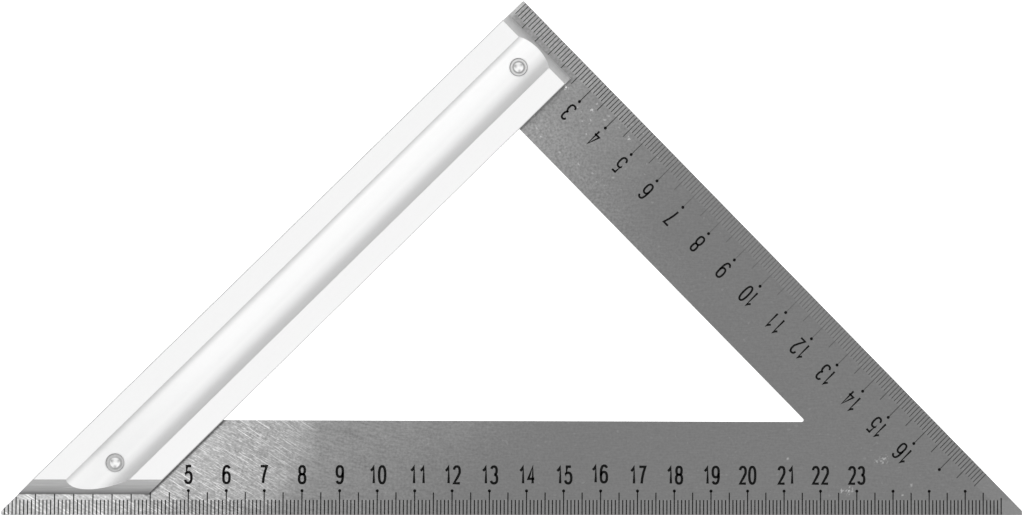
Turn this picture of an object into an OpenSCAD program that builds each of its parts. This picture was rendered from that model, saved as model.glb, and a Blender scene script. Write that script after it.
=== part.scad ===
// Triangular 45 and 90 degree square: a flat steel blade, cut as a triangular frame, is riveted
// between two grooved stock halves that stand proud of it on both faces.
//
// Frame: the square lies on the back half of its stock. +X runs along the long edge, +Y points
// from the long edge to the right-angled corner, and +Z points out of the graduated face. The
// origin is under the middle of the whole square.

/* [Triangle] */
// Length of each short side, between the sharp corners before they are blunted
leg_length = 196; // [150:1:400]
// Cut taken off the two 45 degree tips, measured along the long edge
tip_cut = 1.2; // [0.5:0.1:3]
// Cut taken off the right-angled corner, square to the long edge
apex_cut = 0.2; // [0.1:0.1:1]

/* [Blade] */
// Thickness of the steel
blade_thickness = 1.2; // [0.8:0.1:2]
// Width of the two graduated arms
arm_width = 25.2; // [20:0.1:32]
// How far the blade's hidden side stops short of the stock's inner face
hidden_setback = 2; // [1:0.5:4]
// Radius in the corners of the triangular window
window_radius = 0.5; // [0.5:0.1:1.5]

/* [Stock] */
// Width of the stock, from its outer face to its inner face
stock_width = 24; // [20:0.5:32]
// Height of each stock half above the blade
stock_height = 4; // [3.5:0.1:8]
// Width of the groove that runs down the middle
groove_width = 11.7; // [9:0.1:15]
// Depth of the groove
groove_depth = 2.7; // [2:0.1:2.8]
// Small chamfer along the stock's long edges
edge_break = 0.3; // [0.1:0.05:0.6]
// Strip of blade that stays bare at each end of the stock
bare_strip = 5.6; // [4:0.1:9]
// How far the end by the long edge slopes back over the stock's height
long_end_slope = 4; // [2:0.1:6]
// How far the end by the short graduated edge slopes back over the stock's height
short_end_slope = 2.9; // [1:0.1:6]

/* [Rivets] */
// Diameter of a rivet's shank
shank_diameter = 3.2; // [2.5:0.1:3.6]
// Diameter of a rivet's head
head_diameter = 4.8; // [4.6:0.1:6]
// Height of a rivet's head above the floor of its pocket
head_height = 0.8; // [0.6:0.05:1]
// Distance of each rivet from the graduated edge beside it
rivet_inset = 13.9; // [12:0.1:18]
// Depth of a pocket below the groove's lowest line
pocket_depth = 0.2; // [0.1:0.05:0.3]
// Clearance around each shank and each head
rivet_clearance = 0.1; // [0.05:0.05:0.3]

/* [Hidden] */

// Circles are true circles at this count
$fn = 48;
// Slack that carries a cut past the surface it cuts
past = 1;

long_edge = leg_length * sqrt(2);
apex_y = long_edge / 2 - apex_cut;
blade_bottom = stock_height;
blade_top = blade_bottom + blade_thickness;

hidden_width = stock_width - hidden_setback;
groove_radius = (pow(groove_width / 2, 2) + pow(groove_depth, 2)) / (2 * groove_depth);

// Each rivet stands on the groove's middle line, rivet_inset from its graduated edge
rivet_across = stock_width / 2;
lower_along = rivet_inset * sqrt(2) + rivet_across;
upper_along = leg_length - rivet_inset;
// Height of a pocket's floor above the blade's face
pocket_floor = stock_height - groove_depth - pocket_depth;

// A formed rivet head is a flat disc with a raised rim around a sunk ring and a domed middle
rim_radius = 0.4;
disc_height = head_height - rim_radius;
dome_radius = 1.3;
dome_rise = 0.45;
dome_sphere = (pow(dome_radius, 2) + pow(dome_rise, 2)) / (2 * dome_rise);
// The head that the rivet was made with is a plain low dome
cap_radius = head_diameter / 2;
cap_rise = head_height - disc_height;
cap_sphere = (pow(cap_radius, 2) + pow(cap_rise, 2)) / (2 * cap_rise);

// Moves the sharp corner where stock and long edge meet from the origin to its place
module in_place() {
    translate([-long_edge / 2, -apex_y / 2, 0]) children();
}

// Turns a shape so that its X runs up the stock's outer face, with the stock on its -Y side
module along_stock() {
    rotate([0, 0, 45]) children();
}

// Turns an outline so that its X and Y become Y and Z, and extrudes it along X
module extrude_along_x(length) {
    rotate([90, 0, 90]) linear_extrude(length) children();
}

// Flat outline of the whole triangle with its three corners cut
module triangle_outline() {
    polygon([
        [tip_cut, 0],
        [long_edge - tip_cut, 0],
        [long_edge - tip_cut, tip_cut],
        [long_edge / 2 + apex_cut, apex_y],
        [long_edge / 2 - apex_cut, apex_y],
        [tip_cut, tip_cut]
    ]);
}

function unit(v) = v / norm(v);
// Middle of a corner's round, for corner b between its neighbours a and c
function round_middle(a, b, c, r) =
    let (half = acos(unit(a - b) * unit(c - b)) / 2)
    b + unit(unit(a - b) + unit(c - b)) * r / sin(half);
// Where that round touches the side that runs from b to a
function touch(a, b, c, r) =
    let (half = acos(unit(a - b) * unit(c - b)) / 2)
    b + unit(a - b) * r / tan(half);

// A polygon with every corner rounded to radius r by true arcs
module rounded_polygon(points, r) {
    count = len(points);
    before = [for (i = [0 : count - 1]) points[(i + count - 1) % count]];
    after = [for (i = [0 : count - 1]) points[(i + 1) % count]];
    polygon([
        for (i = [0 : count - 1])
            for (side = [[before[i], after[i]], [after[i], before[i]]])
                touch(side[0], points[i], side[1], r)
    ]);
    for (i = [0 : count - 1])
        translate(round_middle(before[i], points[i], after[i], r)) circle(r);
}

// The window: arm_width inside both graduated edges, hidden_width inside the stock's outer face
module window_outline() {
    stock_line = hidden_width * sqrt(2);
    short_line = long_edge - arm_width * sqrt(2);
    rounded_polygon([
        [arm_width + stock_line, arm_width],
        [short_line - arm_width, arm_width],
        [(short_line + stock_line) / 2, (short_line - stock_line) / 2]
    ], window_radius);
}

// Puts a child on both rivets' axes
module at_rivets() {
    for (along = [lower_along, upper_along])
        along_stock() translate([along, -rivet_across, 0]) children();
}

// Cross-section of one stock half: across the stock in X, from the blade's face up in Y
module stock_section() {
    difference() {
        polygon([
            [0, 0],
            [-stock_width, 0],
            [-stock_width, stock_height - edge_break],
            [-stock_width + edge_break, stock_height],
            [-edge_break, stock_height],
            [0, stock_height - edge_break]
        ]);
        translate([-stock_width / 2, stock_height - groove_depth + groove_radius])
            circle(groove_radius, $fn = 96);
    }
}

// Everything on the -Y side of a sloping end face: the face starts at Y = 0 on the blade and has
// moved to Y = slope at the top of the stock
module end_cutter(slope) {
    reach = 3 * stock_width;
    lean = past * slope / stock_height;
    translate([-reach, 0, 0]) extrude_along_x(2 * reach) polygon([
        [-reach, -past],
        [-lean, -past],
        [slope + lean, stock_height + past],
        [-reach, stock_height + past]
    ]);
}

// One stock half standing on Z = 0, still in the corner's own place
module stock_half() {
    difference() {
        along_stock() extrude_along_x(leg_length) stock_section();
        translate([0, bare_strip, 0]) end_cutter(long_end_slope);
        along_stock() translate([leg_length - bare_strip, 0, 0])
            rotate([0, 0, 90]) end_cutter(short_end_slope);
        at_rivets() {
            translate([0, 0, -past])
                cylinder(h = stock_height + 2 * past, d = shank_diameter + 2 * rivet_clearance);
            translate([0, 0, pocket_floor])
                cylinder(h = stock_height, d = head_diameter + 2 * rivet_clearance);
        }
    }
}

// The cap of a sphere that stands rise above Z = 0, radius wide at its foot
module low_dome(radius, rise, sphere_radius) {
    intersection() {
        translate([0, 0, rise - sphere_radius]) sphere(sphere_radius, $fn = 96);
        cylinder(h = 2 * rise, r = radius);
    }
}

// A rivet at the origin of its own axis, from the back head's foot to the front head's rim
module rivet() {
    back_floor = blade_bottom - pocket_floor;
    front_floor = blade_top + pocket_floor;
    translate([0, 0, back_floor]) cylinder(h = front_floor - back_floor, d = shank_diameter);
    translate([0, 0, front_floor]) {
        cylinder(h = disc_height, d = head_diameter);
        translate([0, 0, disc_height]) {
            rotate_extrude() translate([head_diameter / 2 - rim_radius, 0]) circle(rim_radius);
            low_dome(dome_radius, dome_rise, dome_sphere);
        }
    }
    translate([0, 0, back_floor]) mirror([0, 0, 1]) {
        cylinder(h = disc_height, d = head_diameter);
        translate([0, 0, disc_height]) low_dome(cap_radius, cap_rise, cap_sphere);
    }
}

// Puts a rivet in place, along from the corner where the stock meets the long edge
module rivet_at(along) {
    in_place() along_stock() translate([along, -rivet_across, 0]) rivet();
}

// Steel frame: two graduated arms and a third side that is hidden in the stock
module blade() {
    color("dimgray") in_place() difference() {
        translate([0, 0, blade_bottom]) linear_extrude(blade_thickness) difference() {
            triangle_outline();
            window_outline();
        }
        at_rivets() translate([0, 0, blade_bottom - past])
            cylinder(h = blade_thickness + 2 * past, d = shank_diameter + 2 * rivet_clearance);
    }
}

// Stock half on the graduated face
module stock_front() {
    color("whitesmoke") in_place() translate([0, 0, blade_top]) stock_half();
}

// Stock half on the back, the front one's mirror image
module stock_back() {
    color("whitesmoke") in_place() translate([0, 0, blade_bottom]) mirror([0, 0, 1]) stock_half();
}

// Rivet by the long edge
module rivet_lower() {
    color("silver") rivet_at(lower_along);
}

// Rivet by the right-angled corner
module rivet_upper() {
    color("silver") rivet_at(upper_along);
}

blade();
stock_front();
stock_back();
rivet_lower();
rivet_upper();
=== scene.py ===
# %% [markdown]
# # A triangular square
# This lesson dresses a small hand tool: a flat steel blade with a triangular window, a grooved
# aluminium stock riveted along one side of it, and two centimetre scales. The shape and every size
# come from an engineering model that is already packed, so the first step loads it and measures it,
# and each later step makes one piece or one finish on top.
# Lengths are in metres. The long edge runs along X, the right-angled corner is at +Y, and the
# graduated face looks up.

# %% Load the frame
import math

import bpy
import bmesh
from mathutils import Matrix, Vector


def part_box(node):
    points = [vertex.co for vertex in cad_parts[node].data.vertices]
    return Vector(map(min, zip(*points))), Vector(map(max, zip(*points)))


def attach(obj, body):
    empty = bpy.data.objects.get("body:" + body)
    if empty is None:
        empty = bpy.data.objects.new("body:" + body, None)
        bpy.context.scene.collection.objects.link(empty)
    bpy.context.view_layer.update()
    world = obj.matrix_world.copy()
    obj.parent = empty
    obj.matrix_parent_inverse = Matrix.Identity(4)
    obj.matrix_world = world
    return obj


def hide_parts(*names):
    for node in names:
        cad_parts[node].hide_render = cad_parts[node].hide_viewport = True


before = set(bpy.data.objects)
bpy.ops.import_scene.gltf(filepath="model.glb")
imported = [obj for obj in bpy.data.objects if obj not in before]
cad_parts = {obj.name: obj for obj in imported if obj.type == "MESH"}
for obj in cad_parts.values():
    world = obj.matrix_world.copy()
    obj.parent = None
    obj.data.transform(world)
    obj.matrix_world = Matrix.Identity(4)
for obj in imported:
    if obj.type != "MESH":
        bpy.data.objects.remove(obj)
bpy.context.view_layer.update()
print("nodes:", sorted(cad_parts))

# %% [markdown]
# ## Sizes
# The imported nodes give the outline, the blade's faces and the stock's height. What they can't give
# by their boxes, such as the width of the groove, is a named value here, the same as in the model.
# A second set of axes starts at the corner where the stock meets the long edge: `along` runs
# up the stock's outer face and `across` runs from that face into the triangle.

# %% Sizes
MM = 0.001
TIP_CUT = 1.2 * MM          # taken off both 45 degree tips
APEX_CUT = 0.2 * MM         # taken off the right-angled corner
ARM_WIDTH = 25.2 * MM       # width of a graduated arm
HIDDEN_WIDTH = 22 * MM      # width of the blade's third side, inside the stock
WINDOW_RADIUS = 0.5 * MM
STOCK_WIDTH = 24 * MM
GROOVE_WIDTH = 11.7 * MM
GROOVE_DEPTH = 2.7 * MM
BARE_STRIP = 5.6 * MM       # blade left bare at each end of the stock
LONG_END_SLOPE = 4 * MM     # how far the stock's ends lean back over its height
SHORT_END_SLOPE = 2.9 * MM
POCKET_RADIUS = 2.5 * MM    # round pocket that a rivet's head sits in
POCKET_FLOOR = 1.1 * MM     # height of that pocket's floor above the blade
HEAD_RADIUS = 2.4 * MM

blade_low, blade_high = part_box("blade")
stock_low, stock_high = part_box("stock_front")
BLADE_TOP = blade_high.z
BLADE_BOTTOM = blade_low.z
STOCK_HEIGHT = stock_high.z - stock_low.z
LONG_EDGE = blade_high.x - blade_low.x + 2 * TIP_CUT
SHORT_EDGE = LONG_EDGE / math.sqrt(2)
CORNER = Vector((blade_low.x - TIP_CUT, blade_low.y, 0))
ALONG = Vector((1, 1, 0)).normalized()
ACROSS = Vector((1, -1, 0)).normalized()
APEX = CORNER + ALONG * SHORT_EDGE
print(f"long edge {LONG_EDGE / MM:.1f} mm, short edges {SHORT_EDGE / MM:.1f} mm")

# %% [markdown]
# ## The camera
# The square was laid flat and is seen from almost straight above through a long lens, a little from
# the side of its stock. Looking down, the usual world-up rule has nothing to hold on to, so the
# camera's three axes are worked out from the direction it looks in and from +Y as its up.

# %% Camera
CAMERA_PLACE = Vector((-69.98, -29.87, 717.06)) * MM
CAMERA_AIM = Vector((-2.72, -0.25, 5.2)) * MM
CAMERA_LENS = 93.6
CAMERA_ROLL = math.radians(0.3)


def aim(place, target, roll):
    """The matrix of a camera or lamp at place that looks at target, with +Y up in its view."""
    back = (place - target).normalized()
    right = Vector((0, 1, 0)).cross(back).normalized()
    turned = Matrix((right, back.cross(right), back)).transposed()
    spin = Matrix.Rotation(roll, 3, "Z")
    return Matrix.Translation(place) @ (turned @ spin).to_4x4()


camera = bpy.data.objects.new("camera", bpy.data.cameras.new("camera"))
camera.data.lens = CAMERA_LENS
camera.data.clip_start = 0.01
camera.matrix_world = aim(CAMERA_PLACE, CAMERA_AIM, CAMERA_ROLL)
bpy.context.scene.collection.objects.link(camera)
bpy.context.scene.camera = camera
print("camera", [round(v, 3) for v in camera.matrix_world.translation])

# %% [markdown]
# ## Light and floor
# Bright metal shows whatever is around it, so the lights are shapes and not points. One broad soft
# panel hangs over the square, off to the open side of the stock: a surface that tips towards it
# stays white, and one that tips away falls off to grey, which is what draws the groove. The floor
# glows a little, so that no shadow dirties the pale ground.

# %% Light and floor
scene = bpy.context.scene
scene.view_settings.view_transform = "Standard"
AMBIENT = 0.22              # glow of the room, the same from everywhere
PANEL_SIDE = 5.2
PANEL_HEIGHT = 1.3
PANEL_SHIFT = 0.50          # how far the panel hangs over to the open side
PANEL_GLOW = 0.92

world = bpy.data.worlds.new("studio")
world.use_nodes = True
sky = world.node_tree.nodes["Background"]
sky.inputs["Color"].default_value = (1, 1, 1, 1)
sky.inputs["Strength"].default_value = AMBIENT
scene.world = world


def panel(name, place, target, width, height, radiance):
    """A soft rectangular light that looks at target; its strength is what it shows to a mirror."""
    light = bpy.data.lights.new(name, "AREA")
    light.shape = "RECTANGLE"
    light.size, light.size_y = width, height
    light.energy = radiance * math.pi * width * height
    lamp = bpy.data.objects.new(name, light)
    lamp.matrix_world = aim(place, target, 0)
    scene.collection.objects.link(lamp)
    return lamp


MIDDLE = Vector((0, 0, BLADE_TOP))
overhead = MIDDLE + ACROSS * PANEL_SHIFT + Vector((0, 0, PANEL_HEIGHT))
panel("overhead", overhead, MIDDLE, PANEL_SIDE, PANEL_SIDE, PANEL_GLOW)


def grey(value):
    """A grey of that linear value, as a colour socket takes it."""
    return (value, value, value, 1)


BLACK, WHITE = grey(0), grey(1)
FLOOR_HALF = 2.0
FLOOR_GAP = 0.1 * MM        # the floor lies this far under the stock
floor_mesh = bpy.data.meshes.new("floor")
floor_mesh.from_pydata(
    [(x, y, -FLOOR_GAP) for x, y in ((-1, -1), (1, -1), (1, 1), (-1, 1))], [], [(0, 1, 2, 3)])
floor_mesh.transform(Matrix.Diagonal((FLOOR_HALF, FLOOR_HALF, 1, 1)))
floor = bpy.data.objects.new("floor", floor_mesh)
scene.collection.objects.link(floor)
paper = bpy.data.materials.new("pale_floor")
paper.use_nodes = True
paper_shader = paper.node_tree.nodes["Principled BSDF"]
paper_shader.inputs["Base Color"].default_value = grey(0.8)
paper_shader.inputs["Roughness"].default_value = 0.9
paper_shader.inputs["Emission Color"].default_value = WHITE
paper_shader.inputs["Emission Strength"].default_value = 1.0
floor_mesh.materials.append(paper)
print("floor and light ready")

# %% [markdown]
# ## Writing node trees as sums
# A finish is arithmetic: this noise, times that mask, plus a base tone. `Wire` holds one output
# socket and turns Python's own operators into Math nodes, so a finish reads like a formula. Every
# other node comes from `Tree.add`, which takes the node's type, its settings and its sockets.

# %% A small language for nodes
class Wire:
    """An output socket. Sums and products with it become Math nodes in its tree."""

    def __init__(self, tree, socket):
        self.tree, self.socket = tree, socket

    def math(self, operation, *others):
        sockets = dict(enumerate((self, *others)))
        return self.tree.add("ShaderNodeMath", {"operation": operation}, sockets)

    def flipped(self, operation, other):
        return self.tree.add("ShaderNodeMath", {"operation": operation}, {0: other, 1: self})

    def __add__(self, other):
        return self.math("ADD", other)

    def __radd__(self, other):
        return self.math("ADD", other)

    def __sub__(self, other):
        return self.math("SUBTRACT", other)

    def __rsub__(self, other):
        return self.flipped("SUBTRACT", other)

    def __mul__(self, other):
        return self.math("MULTIPLY", other)

    def __rmul__(self, other):
        return self.math("MULTIPLY", other)

    def __truediv__(self, other):
        return self.math("DIVIDE", other)

    def clamped(self):
        """Held between 0 and 1."""
        held = self.math("ADD", 0.0)
        held.socket.node.use_clamp = True
        return held

    def ramp(self, low, high):
        """0 below low and 1 above high, with a smooth rise between them. low may be above high."""
        return self.tree.add("ShaderNodeMapRange", {"interpolation_type": "SMOOTHSTEP"}, {
            "Value": self, "From Min": low, "From Max": high, "To Min": 0.0, "To Max": 1.0})


class Tree:
    """Adds nodes to a node tree."""

    def __init__(self, node_tree):
        self.node_tree = node_tree

    def add(self, kind, settings=None, sockets=None, out=0):
        """A node of that kind: its settings first, then the value or Wire of each socket."""
        node = self.node_tree.nodes.new(kind)
        for name, value in (settings or {}).items():
            setattr(node, name, value)
        for name, value in (sockets or {}).items():
            self.feed(node.inputs[name], value)
        return Wire(self, node.outputs[out])

    def feed(self, socket, value):
        """Links a Wire into a socket, or sets the socket to a plain value."""
        if isinstance(value, Wire):
            self.node_tree.links.new(value.socket, socket)
        else:
            socket.default_value = value

    def mix(self, factor, one, other):
        """A colour between one and other; Mix keeps the colour that Math would turn grey."""
        return self.add("ShaderNodeMix", {"data_type": "RGBA"}, {0: factor, 6: one, 7: other}, out=2)


class Finish(Tree):
    """A material whose numbers come from formulas on the object's own coordinates, in metres."""

    def __init__(self, name):
        self.material = bpy.data.materials.new(name)
        self.material.use_nodes = True
        super().__init__(self.material.node_tree)
        self.shader = self.node_tree.nodes["Principled BSDF"]
        self.place = self.add("ShaderNodeTexCoord", out="Object")
        split = self.add("ShaderNodeSeparateXYZ", None, {0: self.place}).socket.node
        self.x, self.y = (Wire(self, split.outputs[axis]) for axis in "XY")
        self.along = (self.x + self.y - (CORNER.x + CORNER.y)) / math.sqrt(2)
        self.across = (self.x - self.y - (CORNER.x - CORNER.y)) / math.sqrt(2)

    def turned(self, degrees, stretch=(1, 1, 1)):
        """The coordinates turned about Z, then stretched: a small stretch makes long streaks."""
        spun = self.add("ShaderNodeMapping", {"vector_type": "TEXTURE"}, {
            "Vector": self.place, "Rotation": (0, 0, math.radians(degrees))})
        return self.add("ShaderNodeMapping", None, {"Vector": spun, "Scale": stretch})

    def noise(self, vector, scale, detail=2.0, roughness=0.5):
        """A noise around 0.5 with about scale blobs in a metre."""
        return self.add("ShaderNodeTexNoise", None, {
            "Vector": vector, "Scale": scale, "Detail": detail, "Roughness": roughness}, out="Fac")

    def facing(self, direction):
        """How squarely the surface faces a direction, from -1 to 1."""
        normal = self.add("ShaderNodeNewGeometry", out="Normal")
        return self.add("ShaderNodeVectorMath", {"operation": "DOT_PRODUCT"}, {
            0: normal, 1: tuple(direction)}, out="Value")

    def bump(self, height, depth):
        """A Bump node on a height from 0 to 1 that stands for depth metres."""
        return self.add("ShaderNodeBump", None, {"Height": height, "Distance": depth})

    def set(self, **sockets):
        """Shader sockets by name, with _ for a space."""
        for name, value in sockets.items():
            self.feed(self.shader.inputs[name.replace("_", " ")], value)
        return self.material


print("node helpers ready")

# %% [markdown]
# ## The steel's grain
# Rolled stainless steel is a quiet mid grey with a fine grain along the sheet. A noise squeezed hard
# along one direction turns its blobs into hairlines, so the grain, the brushed streaks and the
# scratches are all the same noise at other angles and sizes. An even noise left unsqueezed makes the
# mottle, and a coarse one decides how far each patch of wear reaches.

# %% Steel grain
STEEL_TONE = 0.186
UNEVEN_REACH = 40 * MM      # how far the coarse noise moves the border of a worn patch
steel = Finish("rolled_steel")
grain = steel.noise(steel.turned(0, (0.08, 1, 1)), 4200, 3.0, 0.6)
cloud = steel.noise(steel.place, 55, 3.0, 0.55)
mottle = steel.noise(steel.place, 1500, 3.0, 0.65)
hairline = steel.noise(steel.turned(-27, (0.11, 1, 1)), 4200, 2.0, 0.65)
cross_hair = steel.noise(steel.turned(-33, (0.035, 1, 1)), 2900, 1.0, 0.5)
scratches = (hairline.ramp(0.50, 0.68) * 0.7 + cross_hair.ramp(0.62, 0.72)).clamped()
brushed = steel.noise(steel.turned(-17, (0.10, 1, 1)), 1500, 3.0, 0.6)
past_corner = steel.x - CORNER.x
up_arm = steel.y - CORNER.y
uneven = past_corner + (cloud - 0.5) * UNEVEN_REACH
print("steel grain:", len(steel.node_tree.nodes), "nodes")

# %% [markdown]
# ## Where the steel is worn, and where a reflection is painted on it
# This blade has been handled. Beside the stock the long arm carries a fan of bright scratches, and
# fainter brushed streaks fade out past them. On that same end of the long arm a painted reflection
# brightens the steel, most of all at its tip. The short arm is cloudy near the right-angled corner
# and mottled along the window. Each patch is a mask on the place: a ramp that falls from 1 to 0
# between two distances, mostly over a border that the coarse noise has made uneven.

# %% Worn patches and painted reflection
low_arm = up_arm.ramp(60 * MM, 30 * MM)
# painted reflection: the next two patches brighten the steel besides holding its scratches and
# streaks, and tip is painted reflection only
handled_and_sheen = (uneven - up_arm * 1.2).ramp(116 * MM, 60 * MM) * low_arm
slanted = uneven - up_arm * 0.9
worn_and_sheen = slanted.ramp(73 * MM, 46 * MM) * low_arm
tip = slanted.ramp(50 * MM, 20 * MM) * low_arm
past_apex = uneven - (APEX.x - CORNER.x)
cloudy = past_apex.ramp(62 * MM, -6 * MM) * (steel.y - APEX.y).ramp(-66 * MM, -30 * MM)
specks = steel.noise(steel.place, 900, 0.0).ramp(0.78, 0.84) * (0.15 + cloudy)
window_side = steel.along.ramp(SHORT_EDGE - 14 * MM, SHORT_EDGE - ARM_WIDTH)
window_side = window_side * steel.across.ramp(100 * MM, 45 * MM)
print("worn patches:", len(steel.node_tree.nodes), "nodes so far")

# %% [markdown]
# ## Nicks in the steel
# A few small pale scuffs lie where the blade was knocked. They follow no rule, so each is an entry in
# a list: a bright core with gritty scratches around it, drawn by its distance from a point.

# %% Nicks
NICKS = (                   # x and y from the stock's corner and reach, in mm, and strength
    (237.6, 15.2, 1.7, 1.0), (235.6, 14.6, 0.9, 0.8), (227.9, 6.6, 1.7, 0.9), (226.1, 6.6, 1.0, 0.7),
    (245.1, 8.2, 0.9, 0.4), (242.7, 5.5, 0.6, 0.5), (211.2, 15.2, 0.6, 0.4), (157.4, 109.2, 0.7, 1.6),
    (150.3, 115.2, 1.0, 2.4), (162.0, 107.6, 0.7, 0.6), (167.5, 101.4, 0.7, 0.7))
grit = steel.noise(steel.turned(55, (0.6, 1, 1)), 1900, 2.0, 0.6).ramp(0.50, 0.66)
nicked = 0.0
for nick_x, nick_y, nick_reach, strength in NICKS:
    off_x = past_corner - nick_x * MM
    off_y = up_arm - nick_y * MM
    away = (off_x * off_x + off_y * off_y).math("SQRT")
    around = away.ramp(nick_reach * MM, nick_reach * 0.4 * MM) * grit
    core = away.ramp(0.42 * MM, 0.10 * MM) * 0.7
    nicked = (around + core) * strength + nicked
print("nicks:", len(NICKS))

# %% [markdown]
# ## Edges and bands on the steel
# Painted shade darkens the blade where the stock's inner edge and its foot meet it, less so towards
# the stock's upper end. The strips under the scales' fine lines were struck and polished a little
# brighter, and so was the blade's rim at the right-angled corner.

# %% Edges and bands
SHADE_LINE_WIDTH = 0.85 * MM      # painted shade line where the stock's inner edge meets the blade
STOCK_TOP = SHORT_EDGE - BARE_STRIP     # where the stock's foot ends, along it
from_edge = steel.across - STOCK_WIDTH
from_foot = up_arm - BARE_STRIP
# painted shade: a dark line beside the stock's inner edge and under its foot, fainter towards its
# upper end
beside = from_edge.ramp(SHADE_LINE_WIDTH, 0.3 * MM) * from_edge.ramp(-SHADE_LINE_WIDTH, 0.0)
below = from_foot.ramp(-0.3 * MM, 0.0) * from_foot.ramp(0.5 * MM, 0.0)
below = below * from_edge.ramp(0.0, -0.5 * MM)
under_top = steel.along.ramp(STOCK_TOP + SHADE_LINE_WIDTH, STOCK_TOP)
seam_shade = beside * from_foot.ramp(-SHADE_LINE_WIDTH, 0.0) * under_top + below * 0.6
past_stock = steel.along.ramp(STOCK_TOP - 1.5 * MM, STOCK_TOP)
apex_rim = steel.across.ramp(1.6 * MM, 0.9 * MM) * past_stock
scribed = steel.along.ramp(SHORT_EDGE - 4.4 * MM, SHORT_EDGE - 4.0 * MM)
fresh = steel.across.ramp(60 * MM, 20 * MM)
struck = up_arm.ramp(4.3 * MM, 3.9 * MM)
print("edges and bands:", len(steel.node_tree.nodes), "nodes so far")

# %% [markdown]
# ## The steel's tone
# The masks and the noises now meet in one sum, brighter or darker than the plain steel, and the
# painted shade along the stock darkens whatever lies under it. The same masks also roughen the
# scratched patch.

# %% Steel
# the worn patches add painted reflection as well as wear, and tip adds painted reflection only
tone = (
    STEEL_TONE
    + (grain - 0.5) * 0.06
    + (mottle - 0.5) * 0.07
    + handled_and_sheen * (0.045 + (grain - 0.5) * 0.08 + (brushed - 0.5) * 0.17)
    + worn_and_sheen * (0.115 + scratches * 0.42 + (mottle - 0.5) * 0.30)
    + tip * 0.14
    + struck * (1 - worn_and_sheen) * 0.03
    + scribed * (0.024 + fresh * 0.048)
    + window_side * (0.03 + (mottle - 0.5) * 0.16)
    + apex_rim * 0.13
    + cloudy * (0.10 + (mottle - 0.5) * 0.26)
    + specks * 0.2
    + nicked * 0.30
)
upper_end = steel.y.ramp(0.0, 40 * MM)
# the painted shade along the stock darkens the steel's colour
tone = tone * (1 - seam_shade * (0.70 - upper_end * 0.42))
steel.set(
    Base_Color=steel.mix(tone, BLACK, WHITE),
    Metallic=1.0,
    Roughness=0.40 + (grain - 0.5) * 0.10 + worn_and_sheen * 0.05,
    Normal=steel.bump(grain * 0.6 + scratches * worn_and_sheen * 0.4, 0.004 * MM),
)
print("steel:", len(steel.node_tree.nodes), "nodes")

# %% [markdown]
# ## The aluminium's faces
# The stock is an extrusion, so its fine lines all run one way, along its length: one noise squeezed
# along `along`. Its two ends were sawn, and those faces are coarser, with the saw's lines along the
# long end. They are also darker, partly from their own finish and partly from painted shade. They are
# found by the way they face, which keeps one material for the whole piece. Painted shade makes the
# long end darkest towards its foot, with a painted shadow line along the foot itself.

# %% Aluminium faces
ALUMINIUM_TONE = 0.95
aluminium = Finish("extruded_aluminium")
die_lines = aluminium.noise(aluminium.turned(45, (0.012, 1, 1)), 2600, 3.0, 0.65)
satin = aluminium.noise(aluminium.place, 900, 2.0, 0.5)
saw_marks = aluminium.noise(aluminium.turned(0, (0.06, 1, 1)), 1900, 2.0, 0.6)
above_foot = aluminium.y - (CORNER.y + BARE_STRIP)
long_end = aluminium.facing((0, -1, 0)).ramp(0.60, 0.66) * above_foot.ramp(5 * MM, 4 * MM)
short_end = aluminium.facing(ALONG).ramp(0.60, 0.70)
# painted shade: the long end darkens towards its foot, and a painted shadow lies along the foot
low_end_shade = above_foot.ramp(3 * MM, 0.0)
foot_shadow = above_foot.ramp(0.9 * MM, 0.0)
# the sawn ends' tones are their own darker finish plus painted shade
long_end_tone_and_shade = 0.48 - low_end_shade * 0.13 - foot_shadow * 0.14 + (saw_marks - 0.5) * 0.16
short_end_tone_and_shade = 0.60 + (satin - 0.5) * 0.10
print("aluminium faces:", len(aluminium.node_tree.nodes), "nodes")

# %% [markdown]
# ## The aluminium's groove and edges
# The side walls are darker. Painted shade darkens the groove's outer and inner walls and draws the
# stock's outer edges as dark hairlines. Inside the groove, painted highlights make two strips a few
# hundredths brighter, and the groove's lower end is a few darker. Each strip is a band of `across`,
# made by one ramp up and one down.

# %% Aluminium
# painted shade on the groove's outer wall; the stock's vertical side walls are darker too
dark_sides_and_wall_shade = aluminium.facing(ACROSS).ramp(0.50, 0.90) + aluminium.facing(-ACROSS).ramp(0.80, 0.95)
# painted shade on the groove's inner wall
inner_wall_shade = aluminium.facing(-ACROSS).ramp(0.35, 0.80)
# painted shade along both long edges of the stock's top
edge_shade = aluminium.across.ramp(0.30 * MM, 0.15 * MM)
edge_shade = edge_shade + aluminium.across.ramp(STOCK_WIDTH - 0.30 * MM, STOCK_WIDTH - 0.15 * MM)
from_middle = (aluminium.across - STOCK_WIDTH / 2).math("ABSOLUTE")
in_groove = from_middle.ramp(GROOVE_WIDTH / 2 + 0.35 * MM, GROOVE_WIDTH / 2 - 0.25 * MM)
# darker towards the groove's lower end
darker_lower_groove = in_groove * aluminium.along.ramp(80 * MM, 30 * MM)
darker_lower_groove = darker_lower_groove * aluminium.across.ramp(14.5 * MM, 10 * MM)
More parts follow.
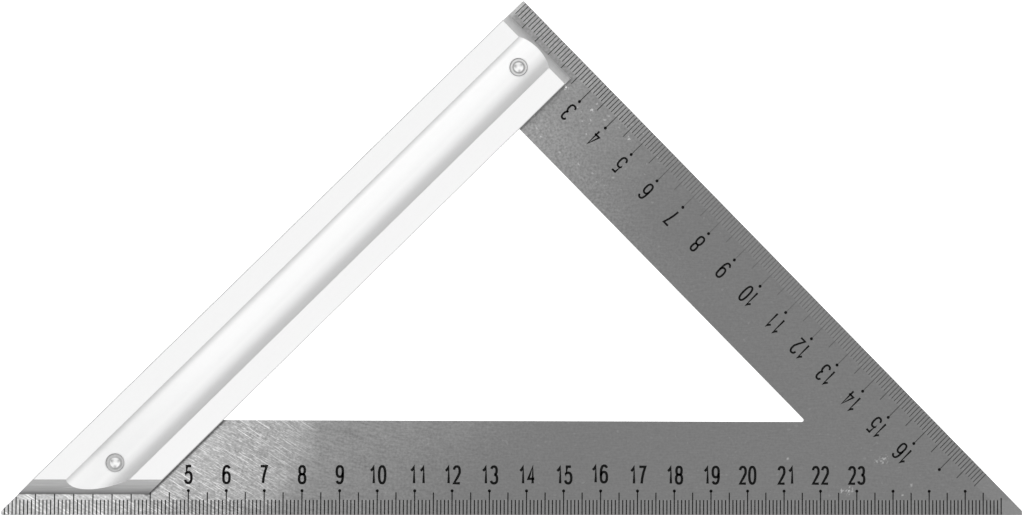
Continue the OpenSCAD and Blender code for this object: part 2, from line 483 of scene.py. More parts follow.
# painted highlights: two strips of the groove made a few hundredths brighter
flank_highlight = aluminium.across.ramp(12 * MM, 13.2 * MM) * aluminium.across.ramp(16.5 * MM, 14.5 * MM)
wall_highlight = aluminium.across.ramp(6.2 * MM, 6.8 * MM) * aluminium.across.ramp(8.5 * MM, 7.5 * MM)
wall_highlight = wall_highlight * aluminium.along.ramp(95 * MM, 125 * MM)
stock_tone = ALUMINIUM_TONE + (die_lines - 0.5) * 0.03 + (satin - 0.5) * 0.02
stock_tone = stock_tone * (1 - dark_sides_and_wall_shade * 0.5) * (1 - inner_wall_shade * 0.10)
stock_tone = stock_tone * (1 + (flank_highlight + wall_highlight) * 0.05)
stock_tone = stock_tone * (1 - edge_shade * 0.4) * (1 - darker_lower_groove * 0.08)
value = stock_tone + long_end * (long_end_tone_and_shade - stock_tone)
value = value + short_end * (short_end_tone_and_shade - stock_tone)
sawn = (long_end + short_end).clamped()
aluminium.set(
    Base_Color=aluminium.mix(value, BLACK, WHITE),
    Metallic=0.5,
    Roughness=0.55 + (die_lines - 0.5) * 0.08 + sawn * 0.15,
    Normal=aluminium.bump(die_lines * (1 - sawn) + saw_marks * sawn, 0.006 * MM),
)
print("aluminium:", len(aluminium.node_tree.nodes), "nodes")

# %% [markdown]
# ## The rivets' finish
# A formed rivet head is a little darker and rougher than the extrusion round it, and painted shade
# darkens its sunk ring, its creases and its notches. Two attributes on the mesh say where they are:
# `reach`, the distance from the axis as a share of the head's radius, and `dent`, how deep the punch
# went. The head by the long edge has the darker painted shade in its ring, the other one the sharper
# painted shade in its creases.

# %% Rivet finish
rivet_metal = Finish("formed_rivet")
head_reach = rivet_metal.add("ShaderNodeAttribute", {"attribute_name": "reach"}, out="Fac")
hammered = rivet_metal.noise(rivet_metal.place, 2600, 2.0, 0.6)
notch_shade = rivet_metal.add("ShaderNodeAttribute", {"attribute_name": "dent"}, out="Fac")
# painted shade fills the sunk ring, its creases and the head's rim; the lower rivet's ring gets more
# of it, its creases less
in_ring = head_reach.ramp(0.46, 0.60)
crease_shade = in_ring * head_reach.ramp(0.76, 0.66) + head_reach.ramp(0.88, 0.98)
lower_one = rivet_metal.y.ramp(20 * MM, -20 * MM)
ring_shade = in_ring * (0.27 + lower_one * 0.19) + crease_shade * (1 - lower_one * 0.80) * 0.36
# the notches get painted shade too
head_tone = 0.98 - ring_shade.math("MAXIMUM", notch_shade * 0.52) + (hammered - 0.5) * 0.25
rivet_metal.set(
    Base_Color=rivet_metal.mix(head_tone.clamped(), BLACK, WHITE),
    Metallic=0.3,
    Roughness=0.42 + (hammered - 0.5) * 0.2,
    Normal=rivet_metal.bump(hammered, 0.015 * MM),
)
print("rivet finish:", len(rivet_metal.node_tree.nodes), "nodes")

# %% [markdown]
# ## The marks' finishes
# The marks are black where they were filled deeply. On the short arm the fine lines are shallow and
# have rubbed away from the corner on, so their black fades to a grey close to the steel's, and some
# of it is left towards the far tip. Dots and figures stay black.

# %% Mark finishes
def mark_finish(name, wear=None):
    """Black filling for marks; wear is a formula that makes it paler, by its place."""
    ink = Finish(name)
    patchy = ink.noise(ink.place, 2400, 2.0, 0.6)
    ink_tone = 0.004 + patchy.ramp(0.55, 0.8) * 0.02
    if wear:
        ink_tone = ink_tone + wear(ink)
    ink.set(
        Base_Color=ink.mix(ink_tone, BLACK, WHITE),
        Roughness=0.7 + (patchy - 0.5) * 0.2,
        Specular_IOR_Level=0.1,
        Normal=ink.bump(patchy, 0.003 * MM),
    )
    return ink.material


def rubbed(ink):
    """Palest in the middle of the short arm, with some black left towards its far tip."""
    return ink.across.ramp(25 * MM, 75 * MM) * 0.137 - ink.across.ramp(110 * MM, 165 * MM) * 0.09


black_mark = mark_finish("black_mark")
fading_mark = mark_finish("fading_mark", rubbed)
print("mark finishes ready")

# %% [markdown]
# ## From points to a plain mesh
# Every piece ends as a mesh at the origin, unturned, with its place in its points. `piece` makes one
# and `baked` applies the modifiers that finished it. A smooth surface only splits its shading where
# two faces meet at a real edge, and a closed shape has all its faces turned outwards.

# %% Mesh helpers
EDGE_ANGLE = math.radians(28)


def piece(name, mesh, material):
    """An object in the scene from a mesh, with that material only."""
    made = bpy.data.objects.new(name, mesh)
    mesh.materials.clear()
    mesh.materials.append(material)
    scene.collection.objects.link(made)
    return made


def finished_mesh(made):
    """The plain mesh that a curve or an object with modifiers comes to."""
    bpy.context.view_layer.update()
    return bpy.data.meshes.new_from_object(
        made.evaluated_get(bpy.context.evaluated_depsgraph_get()))


def baked(made):
    """Replaces an object's mesh by what its modifiers make of it, and removes them."""
    result = finished_mesh(made)
    result.name = made.name
    made.modifiers.clear()
    made.data = result
    return made


def smooth(mesh):
    """Smooth shading, split at the real edges."""
    mesh.shade_smooth()
    mesh.set_sharp_from_angle(angle=EDGE_ANGLE)
    return mesh


def face_outwards(mesh):
    """Turns the faces of closed shapes to point outwards."""
    solid = bmesh.new()
    solid.from_mesh(mesh)
    bmesh.ops.recalc_face_normals(solid, faces=solid.faces)
    solid.to_mesh(mesh)
    solid.free()


def at(along, across, height=0.0):
    """A point given along and across the stock."""
    return CORNER + ALONG * along + ACROSS * across + Vector((0, 0, height))


def arc(middle, radius, start, end, steps):
    """Points on a round stretch, angles in degrees."""
    angles = [math.radians(start + (end - start) * i / steps) for i in range(steps + 1)]
    return [Vector((middle[0] + radius * math.cos(a), middle[1] + radius * math.sin(a)))
            for a in angles]


print("mesh helpers ready")

# %% [markdown]
# ## The blade
# The blade is a stamped sheet: an outline, a window and a thickness. A filled flat curve is the right
# tool, because it takes holes and it rounds its own edges by a bevel. The bevel grows outwards, so
# an equal negative offset keeps the outline at its size.

# %% Blade
BLADE_EDGE = 0.07 * MM


def rounded(points, radius, steps=6):
    """An outline with each corner replaced by an arc that touches both its sides."""
    outline = []
    for i, corner in enumerate(points):
        before, after = points[i - 1], points[(i + 1) % len(points)]
        u, v = (before - corner).normalized(), (after - corner).normalized()
        half = u.angle(v) / 2
        middle = corner + (u + v).normalized() * radius / math.sin(half)
        first = corner + u * radius / math.tan(half) - middle
        turn = first.angle_signed(corner + v * radius / math.tan(half) - middle)
        outline += [middle + Matrix.Rotation(-turn * k / steps, 2) @ first
                    for k in range(steps + 1)]
    return outline


corner = CORNER.to_2d()
blade_outline = [corner + Vector(p) for p in (
    (TIP_CUT, 0), (LONG_EDGE - TIP_CUT, 0), (LONG_EDGE - TIP_CUT, TIP_CUT),
    (LONG_EDGE / 2 + APEX_CUT, LONG_EDGE / 2 - APEX_CUT),
    (LONG_EDGE / 2 - APEX_CUT, LONG_EDGE / 2 - APEX_CUT), (TIP_CUT, TIP_CUT))]
# where the lines of the window's slanted sides would cross the long edge
stock_line = HIDDEN_WIDTH * math.sqrt(2)
short_line = LONG_EDGE - ARM_WIDTH * math.sqrt(2)
window = rounded([corner + Vector(p) for p in (
    (ARM_WIDTH + stock_line, ARM_WIDTH), (short_line - ARM_WIDTH, ARM_WIDTH),
    ((short_line + stock_line) / 2, (short_line - stock_line) / 2))], WINDOW_RADIUS)


def plate(name, outlines, low, high, edge, material):
    """A flat sheet between two heights, from closed outlines, with softened edges."""
    curve = bpy.data.curves.new(name, "CURVE")
    curve.dimensions = "2D"
    curve.fill_mode = "BOTH"
    curve.extrude = (high - low) / 2 - edge
    curve.bevel_depth, curve.bevel_resolution, curve.offset = edge, 2, -edge
    for outline in outlines:
        spline = curve.splines.new("POLY")
        spline.points.add(len(outline) - 1)
        spline.use_cyclic_u = True
        for point, place in zip(spline.points, outline):
            point.co = (place[0], place[1], 0, 1)
    flat = bpy.data.objects.new(name, curve)
    scene.collection.objects.link(flat)
    mesh = finished_mesh(flat)
    bpy.data.objects.remove(flat)
    mesh.transform(Matrix.Translation((0, 0, (low + high) / 2)))
    return piece(name, smooth(mesh), material)


blade = plate("steel_blade", [blade_outline, window], BLADE_BOTTOM, BLADE_TOP, BLADE_EDGE,
              steel.material)
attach(blade, "root")
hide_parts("blade")
print("blade:", len(blade.data.polygons), "faces")

# %% [markdown]
# ## The stock
# Each stock half is one cross-section pushed along a line and sawn off at two slants. As both ends
# are flat faces, a point of the cross-section meets each of them at a length that a short formula
# gives, so the shape needs no cutting: two rings of points and a skin between them. The groove is an
# arc, and its lips and the outer edges are small rounds, as an extrusion die leaves them.

# %% Stock section
LIP_RADIUS = 0.25 * MM
groove_radius = ((GROOVE_WIDTH / 2) ** 2 + GROOVE_DEPTH ** 2) / (2 * GROOVE_DEPTH)
groove_middle = Vector((STOCK_WIDTH / 2, STOCK_HEIGHT - GROOVE_DEPTH + groove_radius))


def stock_section():
    """The cross-section as (across, height) points: foot, outer edge, groove, inner edge."""
    edge = LIP_RADIUS
    # the lip's round touches the flange from below and the groove from outside
    lip_y = STOCK_HEIGHT - edge
    lip_reach = math.sqrt((groove_radius + edge) ** 2 - (groove_middle.y - lip_y) ** 2)
    lean = math.degrees(math.atan2(groove_middle.y - lip_y, lip_reach))
    outer = arc((edge, STOCK_HEIGHT - edge), edge, 180, 90, 5)
    lip_out = arc((groove_middle.x - lip_reach, lip_y), edge, 90, lean, 4)
    bowl = arc(groove_middle, groove_radius, 180 + lean, 360 - lean, 40)
    lip_in = arc((groove_middle.x + lip_reach, lip_y), edge, 180 - lean, 90, 4)
    inner = arc((STOCK_WIDTH - edge, STOCK_HEIGHT - edge), edge, 90, 0, 5)
    half = [Vector((0, 0)), *outer, *lip_out, *bowl[1:-1], *lip_in, *inner]
    return half + [Vector((STOCK_WIDTH, 0))]


def stock_blank(name, foot, up):
    """The section pushed along the stock and sawn at both ends; up is 1 or -1."""
    section = stock_section()
    near, far = [], []
    for across, height in section:
        rise = height / STOCK_HEIGHT
        start = (BARE_STRIP + LONG_END_SLOPE * rise) * math.sqrt(2) + across
        end = SHORT_EDGE - BARE_STRIP - SHORT_END_SLOPE * rise
        near.append(at(start, across, foot + up * height))
        far.append(at(end, across, foot + up * height))
    count = len(section)
    faces = [tuple(range(count)), tuple(range(2 * count - 1, count - 1, -1))]
    faces += [(i, count + i, count + (i + 1) % count, (i + 1) % count) for i in range(count)]
    mesh = bpy.data.meshes.new(name)
    mesh.from_pydata([*near, *far], [], faces)
    face_outwards(mesh)
    return piece(name, mesh, aluminium.material)


print("stock section:", len(stock_section()), "points")

# %% [markdown]
# ## Machining the stock
# Three things happen to the blank. A Boolean sinks the rivets' pockets, because it meets the curved
# groove cleanly. A narrow bevel breaks the sawn edges. Last comes the shading: the groove is made of
# flat strips, so each of their corners is given the true arc's normal, and it shines as one bowl.

# %% Stock tools
SAWN_EDGE = 0.09 * MM
SAWN_ANGLE = math.radians(32)   # edges that turn more than this are broken by the bevel
ARC_TOLERANCE = 0.02 * MM


def round_off_groove(mesh, foot, up):
    """Shades the groove as the true arc: its normals point at the arc's axis."""
    axis = at(0, groove_middle.x, foot + up * groove_middle.y)
    normals = [Vector(n.vector) for n in mesh.corner_normals]
    for face in mesh.polygons:
        to_axis = axis - face.center
        to_axis -= ALONG * to_axis.dot(ALONG)
        on_arc = abs(to_axis.length - groove_radius) < ARC_TOLERANCE
        if on_arc and face.normal.dot(to_axis.normalized()) > 0.95:
            for loop in face.loop_indices:
                inward = axis - mesh.vertices[mesh.loops[loop].vertex_index].co
                inward -= ALONG * inward.dot(ALONG)
                normals[loop] = inward.normalized()
    mesh.normals_split_custom_set(normals)


def sink_pocket(made, floor, up):
    """Cuts a rivet's pocket, whose floor's middle is at floor."""
    drill = bpy.data.meshes.new("drill")
    tool = bmesh.new()
    bmesh.ops.create_cone(
        tool, cap_ends=True, segments=64, radius1=POCKET_RADIUS, radius2=POCKET_RADIUS,
        depth=STOCK_HEIGHT,
        matrix=Matrix.Translation(floor + Vector((0, 0, up * STOCK_HEIGHT / 2))))
    tool.to_mesh(drill)
    tool.free()
    cutter = bpy.data.objects.new("drill", drill)
    scene.collection.objects.link(cutter)
    sink = made.modifiers.new("pocket", "BOOLEAN")
    sink.operation, sink.solver, sink.object = "DIFFERENCE", "EXACT", cutter
    baked(made)
    bpy.data.objects.remove(cutter)


print("stock tools ready")

# %% [markdown]
# ## Both halves
# The two halves are one function with the height turned round, so the back one is the mirror image
# of the front one. Their places come from the frame: the blade's faces, and the rivets' axes.

# %% Stock halves
def stock_half(name, foot, up, rivets):
    """One half whose foot lies on the blade at height foot; up is 1 or -1."""
    made = stock_blank(name, foot, up)
    for axis in rivets:
        sink_pocket(made, axis + Vector((0, 0, foot + up * POCKET_FLOOR)), up)
    edge = made.modifiers.new("sawn_edge", "BEVEL")
    edge.width, edge.segments = SAWN_EDGE, 2
    edge.limit_method, edge.angle_limit = "ANGLE", SAWN_ANGLE
    baked(made)
    smooth(made.data)
    flat = made.modifiers.new("flat_faces", "WEIGHTED_NORMAL")
    flat.weight, flat.keep_sharp = 100, True
    baked(made)
    round_off_groove(made.data, foot, up)
    return made


def middle_of(node):
    """The place of a node's vertical axis."""
    low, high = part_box(node)
    return Vector(((low.x + high.x) / 2, (low.y + high.y) / 2, 0))


rivet_axes = {node: middle_of(node) for node in ("rivet_lower", "rivet_upper")}
for node, foot, up in (("stock_front", BLADE_TOP, 1), ("stock_back", BLADE_BOTTOM, -1)):
    half = stock_half(node + "_extrusion", foot, up, rivet_axes.values())
    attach(half, "root")
    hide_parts(node)
    print(half.name, len(half.data.polygons), "faces")

# %% [markdown]
# ## The rivets
# A rivet's set head is turned about its axis: a raised rim, a sunk ring and a domed middle. The
# punch that spread it left three notches in that middle, which no lathe shape has, so the head is a
# disc of rings and spokes whose height is a formula in radius and angle. The back head is a plain low
# dome. Lengths in these formulas are shares of the head's radius and of its rise.

# %% Rivets
HEAD_RISE = 0.8 * MM
RINGS, SPOKES = 30, 72
DOME_EDGE = 0.60            # where the domed middle ends and the sunk ring begins
RING_HEIGHT = 0.5
NOTCH_PLACE, NOTCH_LENGTH, NOTCH_WIDTH = 0.48, 0.20, 0.19


def dent(radius, angle, turn):
    """How deep the punch went at this place, from 0 to 1: three notches round the middle."""
    r, deepest = radius / HEAD_RADIUS, 0.0
    for k in range(3):
        ray = angle - turn - k * 2 * math.pi / 3
        out, off = r * math.cos(ray), r * math.sin(ray)
        if out > 0:
            spread = (off / NOTCH_WIDTH) ** 2 + ((out - NOTCH_PLACE) / NOTCH_LENGTH) ** 2
            deepest = max(deepest, math.exp(-spread))
    return deepest


def set_head(radius, angle, turn):
    """Height of the formed head at a place, as a share of its full rise."""
    r = radius / HEAD_RADIUS
    if r > DOME_EDGE:
        return RING_HEIGHT + 0.22 * math.sin(math.pi * (r - DOME_EDGE) / 0.44) ** 2
    dome = math.cos(math.pi / 2 * r / DOME_EDGE) ** 2
    return RING_HEIGHT + 0.4 * dome - 0.16 * dent(radius, angle, turn)


def plain_head(radius, angle, turn):
    """Height of the back head, the same all round."""
    r = radius / HEAD_RADIUS
    return 0.45 + 0.55 * math.sqrt(max(0.0, 1 - r ** 2.6))


def spoke(radius, angle, height):
    """A point given by its distance and direction from a rivet's axis."""
    return Vector((radius * math.cos(angle), radius * math.sin(angle), height))


def head(mesh_data, axis, floor, up, height_at, turn):
    """Adds one head: rings and spokes over its top, and a wall down to the pocket's floor."""
    points, faces = mesh_data
    first = len(points)
    angles = [2 * math.pi * s / SPOKES for s in range(SPOKES)]
    points.append(axis + Vector((0, 0, floor + up * HEAD_RISE * height_at(0, 0, turn))))
    for radius in (HEAD_RADIUS * k / RINGS for k in range(1, RINGS + 1)):
        points += [axis + spoke(radius, a, floor + up * HEAD_RISE * height_at(radius, a, turn))
                   for a in angles]
    points += [axis + spoke(HEAD_RADIUS, a, floor) for a in angles]
    points.append(axis + Vector((0, 0, floor)))
    for s in range(SPOKES):
        t = (s + 1) % SPOKES
        faces.append((first, first + 1 + s, first + 1 + t))
        for k in range(RINGS):
            inner = first + 1 + k * SPOKES
            outer = inner + SPOKES
            faces.append((inner + s, outer + s, outer + t, inner + t))
        faces.append((outer + s, len(points) - 1, outer + t))


print("a head:", RINGS * SPOKES, "faces on top")

# %% [markdown]
# ## Both rivets
# The two heads of a rivet are one piece, because they are one piece of metal. Two attributes go with
# the mesh, so that the finish knows where the ring and the notches are on each rivet.

# %% Rivet pieces
def rivet_heads(name, axis, turn):
    """Both heads of a rivet as one piece, with the attributes that its finish reads."""
    data = ([], [])
    head(data, axis, BLADE_TOP + POCKET_FLOOR, 1, set_head, turn)
    head(data, axis, BLADE_BOTTOM - POCKET_FLOOR, -1, plain_head, 0.0)
    mesh = bpy.data.meshes.new(name)
    mesh.from_pydata(data[0], [], data[1])
    face_outwards(mesh)
    spots = [(point.co - axis).to_2d() for point in mesh.vertices]
    share = [spot.length / HEAD_RADIUS for spot in spots]
    depth = [dent(spot.length, math.atan2(spot.y, spot.x), turn) for spot in spots]
    for title, values in (("reach", share), ("dent", depth)):
        mesh.attributes.new(title, "FLOAT", "POINT").data.foreach_set("value", values)
    return piece(name, smooth(mesh), rivet_metal.material)


TURNS = {"rivet_lower": 0.5, "rivet_upper": 0.7}    # how each punch was held, in radians
for node, axis in rivet_axes.items():
    rivet = rivet_heads(node + "_heads", axis, TURNS[node])
    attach(rivet, "root")
    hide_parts(node)
    print(rivet.name, len(rivet.data.polygons), "faces")

# %% [markdown]
# ## The scales' lines and dots
# A scale is the clearest case for Geometry Nodes: one bar, copied at every millimetre, whose length
# depends on its number. Every fifth is longer, every tenth longer still and ends in a dot, and the
# last one closes the scale. Two limits keep the bars on bare steel: the blade's own corner, and the
# stock that covers the rest of a line. Both scales use the same tree with different inputs.

# %% Graduation tree
MARK_RISE = 0.02 * MM       # ink stands this far above the blade
MARK_SINK = 0.01 * MM       # a mark starts this far inside the blade, so that no gap shows
MARK_THICKNESS = MARK_RISE + MARK_SINK


def graduation_tree():
    """Bars and dots along X from 0, growing along Y from the edge, flat on Z = 0.

    Reach is the stock's end on X; Slope says how steeply the stock and the corner cross the edge.
    """
    group = bpy.data.node_groups.new("graduation", "GeometryNodeTree")
    group.interface.new_socket("Geometry", in_out="OUTPUT", socket_type="NodeSocketGeometry")
    for name, kind in (
            ("First", "Int"), ("Last", "Int"), ("First Dot", "Int"), ("Last Dot", "Int"),
            ("Pitch", "Float"), ("Bar Width", "Float"), ("Short", "Float"), ("Middle", "Float"),
            ("Long", "Float"), ("Closing", "Float"), ("Edge Gap", "Float"),
            ("Dot Radius", "Float"), ("Thickness", "Float"), ("Reach", "Float"),
            ("Bare Strip", "Float"), ("Slope", "Float"),
            ("Bar Material", "Material"), ("Dot Material", "Material")):
        group.interface.new_socket(name, in_out="INPUT", socket_type="NodeSocket" + kind)
    tree = Tree(group)
    inputs = group.nodes.new("NodeGroupInput")
    wire = {s.name: Wire(tree, s) for s in inputs.outputs if s.name}
    count = wire["Last"] - wire["First"] + 1
    line = tree.add("GeometryNodeMeshLine", {"mode": "OFFSET"}, {"Count": count})
    number = tree.add("GeometryNodeInputIndex") + wire["First"]
    place = number * wire["Pitch"]
    fifth = number.math("MODULO", 5.0).math("LESS_THAN", 0.5)
    in_dots = (number.math("GREATER_THAN", wire["First Dot"] - 0.5)
               * number.math("LESS_THAN", wire["Last Dot"] + 0.5))
    tenth = number.math("MODULO", 10.0).math("LESS_THAN", 0.5) * in_dots
    length = wire["Short"] + fifth * (wire["Middle"] - wire["Short"])
    length = length + tenth * (wire["Long"] - length)
    closing = number.math("GREATER_THAN", wire["Last"] - 0.5)
    length = length + closing * (wire["Closing"] - length)
    past_stock = (place - wire["Reach"]).math("MAXIMUM", 0.0) * wire["Slope"]
    length = length.math("MINIMUM", place * wire["Slope"] - wire["Edge Gap"])
    length = length.math("MINIMUM", past_stock + wire["Bare Strip"])
    spot = tree.add("ShaderNodeCombineXYZ", None, {"X": place, "Y": wire["Edge Gap"]})
    points = tree.add("GeometryNodeSetPosition", None, {"Geometry": line, "Position": spot})
    # a unit cube that stands on the line and grows away from the edge
    cube = tree.add("GeometryNodeMeshCube")
    bar = tree.add("GeometryNodeTransform", None, {"Geometry": cube, "Translation": (0, 0.5, 0.5)})
    size = tree.add("ShaderNodeCombineXYZ", None, {
        "X": wire["Bar Width"], "Y": length - wire["Edge Gap"], "Z": wire["Thickness"]})
    bars = tree.add("GeometryNodeInstanceOnPoints", None, {
        "Points": points, "Instance": bar, "Scale": size})
    disc = tree.add("GeometryNodeMeshCylinder", None, {
        "Vertices": 20, "Radius": wire["Dot Radius"], "Depth": wire["Thickness"]})
    lift = tree.add("ShaderNodeCombineXYZ", None, {
        "Y": wire["Long"] - wire["Edge Gap"], "Z": wire["Thickness"] / 2})
    dot = tree.add("GeometryNodeTransform", None, {"Geometry": disc, "Translation": lift})
    marked = tree.add("GeometryNodeStoreNamedAttribute", {
        "data_type": "BOOLEAN", "domain": "FACE"}, {
        "Geometry": dot, "Name": "is_dot", "Value": True})
    dots = tree.add("GeometryNodeInstanceOnPoints", None, {
        "Points": points, "Selection": tenth, "Instance": marked})
    joined = tree.add("GeometryNodeJoinGeometry")
    for part in (bars, dots):
        group.links.new(part.socket, joined.socket.node.inputs[0])
    real = tree.add("GeometryNodeRealizeInstances", None, {"Geometry": joined})
    is_dot = tree.add("GeometryNodeInputNamedAttribute", {"data_type": "BOOLEAN"}, {
        "Name": "is_dot"})
    barred = tree.add("GeometryNodeSetMaterial", None, {
        "Geometry": real, "Material": wire["Bar Material"]})
    dressed = tree.add("GeometryNodeSetMaterial", None, {
        "Geometry": barred, "Selection": is_dot, "Material": wire["Dot Material"]})
    output = group.nodes.new("NodeGroupOutput")
    group.links.new(dressed.socket, output.inputs[0])
    return group


graduation = graduation_tree()
print("graduation tree:", len(graduation.nodes), "nodes")

# %% [markdown]
# ## Placing the two scales
# The tree draws a scale along X on the ground. A matrix stands it on the blade: its X becomes the
# direction of counting and its Y points from the edge inwards. The long edge counts from the stock's
# corner, and the short edge counts from the right-angled corner, so there the pair is left-handed
# and a plain turn isn't enough: the matrix mirrors, and the faces are turned back afterwards.

# %% Scales
LONG_START = 0.12 * MM      # how far from its corner each scale starts
SHORT_START = 0.1 * MM
LONG_WAY = Vector((1, 0, 0))
LONG_IN = Vector((0, 1, 0))


def frame_at(origin, right, up):
    """A matrix that puts X along right and Y along up, starting at origin, on the blade's face."""
    matrix = Matrix((right, up, Vector((0, 0, 1)))).transposed().to_4x4()
    matrix.translation = Vector((origin.x, origin.y, BLADE_TOP - MARK_SINK))
    return matrix


def scale_lines(name, matrix, material, values):
    """Runs the graduation tree with these inputs and returns its mesh as a piece."""
    holder = bpy.data.objects.new(name, bpy.data.meshes.new(name))
    scene.collection.objects.link(holder)
    nodes = holder.modifiers.new("graduation", "NODES")
    nodes.node_group = graduation
    known = {s.name: s.identifier for s in graduation.interface.items_tree
             if s.in_out == "INPUT"}
    finishes = {"Bar Material": material, "Dot Material": black_mark}
    for title, value in {**values, **finishes}.items():
        nodes[known[title]] = value
    baked(holder)
    holder.data.transform(matrix)
    if matrix.determinant() < 0:
        holder.data.flip_normals()
    return holder


common = {"Pitch": 1 * MM, "Closing": 4.7 * MM, "Dot Radius": 0.42 * MM, "Edge Gap": 0.14 * MM,
          "Bare Strip": BARE_STRIP - 0.02 * MM, "Thickness": MARK_THICKNESS}
long_scale = {**common, "First": 2, "Last": 270, "First Dot": 50, "Last Dot": 260,
              "Bar Width": 0.30 * MM, "Short": 4.1 * MM, "Middle": 6.1 * MM, "Long": 6.52 * MM,
              "Reach": BARE_STRIP + STOCK_WIDTH * math.sqrt(2), "Slope": 1.0}
short_scale = {**common, "First": 1, "Last": 180, "First Dot": 30, "Last Dot": 170,
               "Bar Width": 0.22 * MM, "Short": 4.1 * MM, "Middle": 6.6 * MM, "Long": 8.38 * MM,
               "Reach": STOCK_WIDTH, "Slope": 100.0}
long_place = frame_at(CORNER + LONG_WAY * LONG_START, LONG_WAY, LONG_IN)
short_place = frame_at(APEX + ACROSS * SHORT_START, ACROSS, -ALONG)
for name, matrix, material, values in (
        ("long_edge_lines", long_place, black_mark, long_scale),
        ("short_edge_lines", short_place, fading_mark, short_scale)):
    lines = scale_lines(name, matrix, material, values)
    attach(lines, "root")
    print(name, len(lines.data.polygons), "faces")

# %% [markdown]
# ## The numbers
# A ruler's figures are narrow and plain. Each is drawn here as the path of a pen: a few straight
# stretches and a few bows in a box one wide and one high. A bow is a squared-off ellipse, which
# gives narrow figures their upright flanks. The nine is the six turned round.

# %% Figures
BOW_POWER = 2 / 2.5


def bow(cx, cy, rx, ry, start, end, steps=14):
    """Part of a squared-off ellipse, from one angle to another, in degrees."""
    points = []
    for k in range(steps + 1):
        a = math.radians(start + (end - start) * k / steps)
        x, y = math.cos(a), math.sin(a)
        points.append((cx + rx * math.copysign(abs(x) ** BOW_POWER, x),
                       cy + ry * math.copysign(abs(y) ** BOW_POWER, y)))
    return points


def ring(cx, cy, rx, ry):
    """A whole squared-off ellipse."""
    return bow(cx, cy, rx, ry, 0, 360, 28)[:-1]


six = [(ring(0.5, 0.31, 0.5, 0.31), True), (bow(0.55, 0.5, 0.55, 0.5, 190, 42), False)]
FIGURES = {
    "0": [(ring(0.5, 0.5, 0.5, 0.5), True)],
    "1": [([(0.22, 0.74), (0.50, 0.84), (0.70, 1.0), (0.70, 0.0)], False)],
    "2": [([*bow(0.48, 0.73, 0.47, 0.27, 168, -25), (0.60, 0.36), (0.03, 0.0), (1.0, 0.0)], False)],
    "3": [(bow(0.46, 0.76, 0.44, 0.24, 160, -88), False),
          (bow(0.46, 0.26, 0.52, 0.26, 88, -160), False)],
    "4": [([(0.72, 0.0), (0.72, 1.0), (0.0, 0.27), (1.0, 0.27)], False)],
    "5": [([(0.92, 1.0), (0.22, 1.0), (0.08, 0.50), *bow(0.46, 0.32, 0.52, 0.32, 135, -160)],
           False)],
    "6": six,
    "7": [([(0.0, 1.0), (1.0, 1.0), (0.70, 0.66), (0.50, 0.33), (0.40, 0.0)], False)],
    "8": [(ring(0.5, 0.765, 0.43, 0.235), True), (ring(0.5, 0.265, 0.5, 0.265), True)],
    "9": [([(1 - x, 1 - y) for x, y in path], closed) for path, closed in six],
}
print("figures:", " ".join(FIGURES))

# %% [markdown]
# ## Ink along a path
# `ribbon` walks a path and gives the two sides of a band of even width, with its corners mitred, and
# `lay_band` makes a thin closed solid of it. A font would be less work, but it brings its own look.

# %% Pen strokes
MITRE_LIMIT = 1.6           # how far a sharp corner may stick out, in half widths


def ribbon(path, closed, width):
    """The two sides of a band of that width laid over a path."""
    left, right = [], []
    count = len(path)
    for i, place in enumerate(path):
        before = path[i - 1] if closed or i else None
        after = path[(i + 1) % count] if closed or i < count - 1 else None
        u = (place - before).normalized() if before is not None else (after - place).normalized()
        v = (after - place).normalized() if after is not None else u
        along = (u + v).normalized()
        out = Vector((-along.y, along.x))
        reach = min(MITRE_LIMIT, 1 / max(0.2, out.dot(Vector((-u.y, u.x))))) * width / 2
        left.append(place + out * reach)
        right.append(place - out * reach)
    return left, right


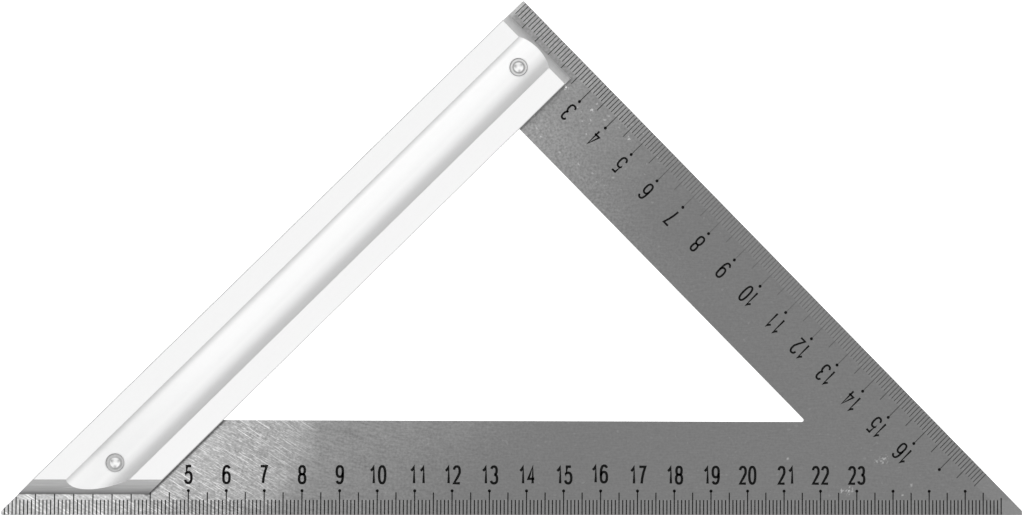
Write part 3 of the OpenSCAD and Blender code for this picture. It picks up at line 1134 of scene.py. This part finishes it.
def lay_band(data, path, closed, width):
    """Adds a flat bar of ink over a path, as a closed solid, to lists of points and faces."""
    points, faces = data
    left, right = ribbon(path, closed, width)
    count, base = len(path), len(points)
    for height in (0, MARK_THICKNESS):
        points += [Vector((*p, height)) for p in left]
        points += [Vector((*p, height)) for p in right]
    l0, r0, l1, r1 = (base + count * k for k in range(4))
    for i in range(count if closed else count - 1):
        j = (i + 1) % count
        faces += [(l1 + i, r1 + i, r1 + j, l1 + j), (l0 + j, r0 + j, r0 + i, l0 + i),
                  (l0 + i, l1 + i, l1 + j, l0 + j), (r0 + j, r1 + j, r1 + i, r0 + i)]
    if not closed:
        faces += [(l0, r0, r1, l1)]
        e = count - 1
        faces += [(l1 + e, r1 + e, r0 + e, l0 + e)]


print("pen strokes ready")

# %% [markdown]
# ## Both rows of numbers
# Each number is centred on the mark that it names, and the marks are a step apart. On the real blade
# some numbers sit a few tenths of a millimetre off, and a small list of nudges keeps that.

# %% Numbers
def figures(name, values, matrix, nudges, step, baseline, height, width, pen, pitch):
    """Numbers a step apart, centred on their marks, every stroke a band of ink."""
    data = ([], [])
    for value in values:
        text = str(value)
        dx, dy = nudges.get(value, (0, 0))
        for k, digit in enumerate(text):
            middle = value * step + (k - (len(text) - 1) / 2) * pitch + dx
            for path, closed in FIGURES[digit]:
                spots = [Vector((middle + (x - 0.5) * (width - pen),
                                 baseline + dy + pen / 2 + y * (height - pen))) for x, y in path]
                lay_band(data, spots, closed, pen)
    mesh = bpy.data.meshes.new(name)
    mesh.from_pydata(data[0], [], data[1])
    mesh.transform(matrix)
    face_outwards(mesh)
    return piece(name, mesh, black_mark)


LONG_NUDGES = {7: (-0.2 * MM, 0), 11: (0.75 * MM, 0), 16: (-0.4 * MM, 0.3 * MM), 21: (0.6 * MM, 0)}
SHORT_NUDGES = {5: (0.1 * MM, 0), 8: (0.1 * MM, 0), 9: (0.1 * MM, 0), 11: (-0.4 * MM, 0)}
long_numbers = figures(
    "long_edge_numbers", range(5, 24), long_place, LONG_NUDGES, step=10 * MM, baseline=8.2 * MM,
    height=5.15 * MM, width=2.3 * MM, pen=0.68 * MM, pitch=2.55 * MM)
# the short edge counts down its arm, but its figures read back up it
reading = frame_at(APEX, -ACROSS, -ALONG)
short_numbers = figures(
    "short_edge_numbers", range(3, 17), reading, SHORT_NUDGES, step=-10 * MM, baseline=9.9 * MM,
    height=5.2 * MM, width=2.15 * MM, pen=0.54 * MM, pitch=2.55 * MM)
for numbers in (long_numbers, short_numbers):
    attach(numbers, "root")
    print(numbers.name, len(numbers.data.polygons), "faces")
